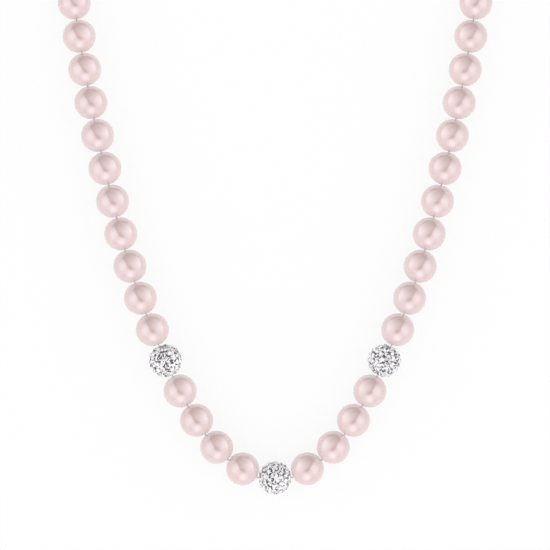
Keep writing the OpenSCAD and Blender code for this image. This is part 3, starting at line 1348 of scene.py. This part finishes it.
@dataclass(frozen=True)
class TentFold:
    """A dark fold of a light tent: sharp along one straight edge and fading away from it."""

    edge_from: Span = (-0.43, 0.48)
    edge_to: Span = (-0.09, -0.165)
    sharp: float = 0.035
    fade: float = 0.35
    end_fade: Span = (-0.04, 0.08)

    def shape(self, writer: NodeWriter, place: FacePlace) -> Feed:
        """Writes the fold.

        Args:
            writer: the lamp's nodes.
            place: the place on the ball's face.

        Returns:
            The share of light that the fold takes away.
        """
        run = (Vector(self.edge_to) - Vector(self.edge_from)).normalized()
        ahead, beside = place.seen_from(writer, self.edge_to, run)
        start = writer.ramp(beside, 0.0, self.sharp)
        away = writer.ramp(beside, 0.0, self.fade, 1.0, 0.0)
        return writer.times(start, away, writer.ramp(writer.times(ahead, -1.0), *self.end_fade))


@dataclass(frozen=True)
class LightTent:
    """A wide soft light over one half of the strand, with brighter patches and a dark fold.

    Its height and width are in metres, so that every pearl shows it alike.
    """

    height: float = 2.0
    width: float = 80.0
    level: float = 0.62
    fold: TentFold = TentFold()
    fold_share: float = 0.80
    spots: tuple[SoftSpot, ...] = (
        SoftSpot((-0.43, -0.02), (0.28, 0.37), 0.66, -5.0),
        SoftSpot((0.55, 0.18), (0.33, 0.40), 0.74, 6.0),
        SoftSpot((0.04, -0.49), (0.25, 0.23), 0.80, 45.0),
        SoftSpot((-0.60, 0.82), (0.64, 0.30), -0.95, -25.0),
        SoftSpot((-0.20, -0.74), (0.40, 0.10), -0.28, -50.0),
        SoftSpot((0.05, -0.13), (0.19, 0.12), -0.70, -22.0),
    )

    def hang(self, side: Side, lit: Sequence[Piece]) -> None:
        """Hangs the tent over one half of the strand, for that half alone.

        Args:
            side: the half; the right one gets the pattern mirrored.
            lit: the objects that it lights.
        """
        data = bpy.data.lights.new(f"tent {side.value}", "AREA")
        data.shape = "SQUARE"
        data.size = self.width
        data.energy = math.pi * self.width**2
        data.use_nodes = True
        writer = NodeWriter(data.node_tree)
        emission = data.node_tree.nodes["Emission"]
        writer.feed(emission.inputs["Strength"], self.pattern(writer, -side.sign))
        lamp = bpy.data.objects.new(data.name, data)
        lamp.location = (0.0, 0.0, self.height)
        lamp.visible_camera = False
        bpy.context.scene.collection.objects.link(lamp)
        receivers = bpy.data.collections.new(f"lit {side.value}")
        for piece in lit:
            receivers.objects.link(piece)
        lamp.light_linking.receiver_collection = receivers
        log.info("tent on the %s lights %d objects", side.value, len(lit))

    def pattern(self, writer: NodeWriter, mirror: int) -> Socket:
        """Writes the tent's light over its cloth.

        Args:
            writer: the lamp's nodes.
            mirror: -1 to mirror the pattern left to right.

        Returns:
            The strength of the light.
        """
        x, y, z = writer.split(writer.add("ShaderNodeNewGeometry").outputs["Position"])
        flat = writer.math("ADD", writer.square(x), writer.square(y))
        away = writer.math("SQRT", writer.math("ADD", flat, writer.square(z)))
        lift = writer.math("ADD", writer.math("DIVIDE", z, away), 1.0)
        half = writer.times(away, writer.math("SQRT", writer.times(lift, 2.0)))
        across = writer.times(writer.math("DIVIDE", x, half), float(mirror))
        place = FacePlace(across, writer.math("DIVIDE", y, half))
        light: Feed = self.level
        for spot in self.spots:
            light = writer.math("ADD", spot.shape(writer, place), light)
        dark = writer.times(self.fold.shape(writer, place), -self.fold_share)
        return writer.math("MAXIMUM", writer.times(light, writer.math("ADD", dark, 1.0)), 0.0)


@dataclass(frozen=True)
class DarkCard:
    """A dark card beyond the floor and below its level, which shows near each pearl's upper rim.

    Its edges are parts of a direction of length 1: sideways from the middle, and up from the level.
    """

    side_edges: Span = (0.30, 0.75)
    low_edges: Span = (-0.42, -0.20)
    depth: float = 0.9

    def shape(self, writer: NodeWriter, way: Socket) -> Feed:
        """Writes the card.

        Args:
            writer: the nodes of the surroundings.
            way: the direction looked in.

        Returns:
            The share of light that the card takes away.
        """
        x, y, rise = writer.split(way)
        side = writer.ramp(writer.math("ABSOLUTE", x), *self.side_edges, self.depth, 0.0)
        behind = writer.math("GREATER_THAN", y, 0.0)
        return writer.times(side, writer.ramp(rise, *self.low_edges), behind)


@dataclass
class Studio:
    """The pale floor, the surroundings, the soft tents and the camera above."""

    centre_ball: Vector
    view_rise: float = 48.21
    view_width: float = 130.72
    lens: float = 400.0
    sensor: float = 36.0
    far_end: float = 100.0
    floor_size: float = 80.0
    floor_tones: Span = (0.95, 0.97)
    floor_glow: float = 0.86
    floor_shine: float = 0.75
    fill: float = 0.25
    horizon: float = 0.05
    middle_half: float = 0.5

    def build(self) -> None:
        """Makes the floor, the light and the camera."""
        self.floor()
        self.world()
        self.tents()
        self.camera()
        settings = bpy.context.scene.view_settings
        settings.view_transform = "Standard"

    def tents(self) -> None:
        """Hangs a tent over each half; the left one lights the middle and the floor too."""
        halves: dict[Side, list[Piece]] = {side: [] for side in Side}
        for piece in bpy.context.scene.objects:
            if piece.type == "MESH":
                corners = [(piece.matrix_world @ Vector(corner)).x for corner in piece.bound_box]
                right = sum(corners) / len(corners) > self.middle_half * MM
                halves[Side.RIGHT if right else Side.LEFT].append(piece)
        for side, lit in halves.items():
            LightTent().hang(side, lit)

    def camera(self) -> None:
        """Puts the camera straight above the part of the strand that the photograph shows."""
        data = bpy.data.cameras.new("overhead")
        data.lens = self.lens
        data.sensor_width = self.sensor
        data.clip_end = self.far_end
        camera = bpy.data.objects.new("overhead", data)
        height = self.view_width * self.lens / self.sensor
        camera.location = (self.centre_ball + Vector((0.0, self.view_rise, height))) * MM
        bpy.context.scene.collection.objects.link(camera)
        bpy.context.scene.camera = camera

    def floor(self) -> None:
        """Lays a pale floor: nearly white with a faint shadow from above, and clear from below.

        To lustre it is mostly clear too, so that the pearls show what lies beyond it.
        """
        sheet = bmesh.new()
        bmesh.ops.create_grid(sheet, x_segments=4, y_segments=4, size=self.floor_size / 2)
        surface = Surface("pale floor")
        tone = surface.group(MottleGroup, Scale=0.8, Detail=2.0, Seed=3.0)
        dull, pale = ((grey, grey, grey) for grey in self.floor_tones)
        surface.put(
            Base_Color=surface.mix(tone["Mask"], dull, pale), Roughness=0.9, Specular_IOR_Level=0.0
        )
        ray = surface.add("ShaderNodeLightPath").outputs
        mirrored = surface.math("MAXIMUM", ray["Is Glossy Ray"], ray["Is Transmission Ray"])
        below = surface.add("ShaderNodeNewGeometry").outputs["Backfacing"]
        result = surface.shader
        for seen, share in (
            (mirrored, self.floor_shine),
            (ray["Is Camera Ray"], self.floor_glow),
            (below, 1.0),
        ):
            clear = surface.add("ShaderNodeBsdfTransparent")
            result = surface.add("ShaderNodeMixShader", surface.times(seen, share), result, clear)
        surface.feed(surface.tree.nodes["Material Output"].inputs["Surface"], result)
        piece = solid("floor", sheet, surface.material)
        piece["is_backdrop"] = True

    def world(self) -> None:
        """Makes the surroundings: an even soft light, white to the camera and below the tents' hem."""
        world = bpy.data.worlds.new("studio")
        world.use_nodes = True
        bpy.context.scene.world = world
        writer = NodeWriter(world.node_tree)
        background = world.node_tree.nodes["Background"]
        background.inputs["Color"].default_value = (1.0, 1.0, 1.0, 1.0)
        ray = writer.add("ShaderNodeLightPath").outputs
        seen = writer.math("MAXIMUM", ray["Is Camera Ray"], ray["Is Transmission Ray"])
        way = writer.add("ShaderNodeTexCoord").outputs["Generated"]
        low = writer.math("LESS_THAN", writer.split(way)[2], self.horizon)
        clear = writer.math("SUBTRACT", 1.0, DarkCard().shape(writer, way))
        white = writer.math("MAXIMUM", seen, writer.times(low, clear))
        strength = writer.math("MULTIPLY_ADD", white, 1.0 - self.fill, self.fill)
        writer.feed(background.inputs["Strength"], strength)


def write_sizes() -> None:
    """Gathers the CAD box and the visual model's box."""
    boxes = {"cad": cad_box, "visual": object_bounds()}
    {name: [list(corner) for corner in box] for name, box in boxes.items()}


def main() -> None:
    """Builds the necklace from the centre ball outward, then the studio."""
    logging.basicConfig(level=logging.INFO, format="%(name)s: %(message)s")
    nacre = NacreFinish().material()
    crystal = CrystalFinish().material()
    clay = ClayFinish().material()
    silver = MetalFinish(
        "bright silver", bright=(0.66, 0.66, 0.68), dull=(0.40, 0.39, 0.40), roughness=(0.10, 0.24)
    ).material()
    steel = MetalFinish(
        "drawn steel", bright=(0.58, 0.58, 0.60), dull=(0.40, 0.40, 0.41), roughness=(0.22, 0.38)
    ).material()

    strand = Strand()
    bead_tree = BeadTree()
    stone_tree = StoneTree()
    sweep_tree = SweepTree()
    for bead in strand.beads():
        if len(bead.nodes) == 2:
            CrystalBall(bead).build(stone_tree, crystal, clay)
        else:
            Pearl(bead).build(bead_tree, nacre)
    StringingWire(strand).build(sweep_tree, steel)
    for side in Side:
        CrimpTube(side).build(silver)
    JumpRing(Side.LEFT).build(sweep_tree, "clasp", silver)
    JumpRing(Side.RIGHT).build(sweep_tree, "catch", silver)
    LobsterClasp().build(silver, steel)
    Studio(strand.bead(Side.LEFT, 0).centre).build()
    write_sizes()


if __name__ == "__main__":
    main()
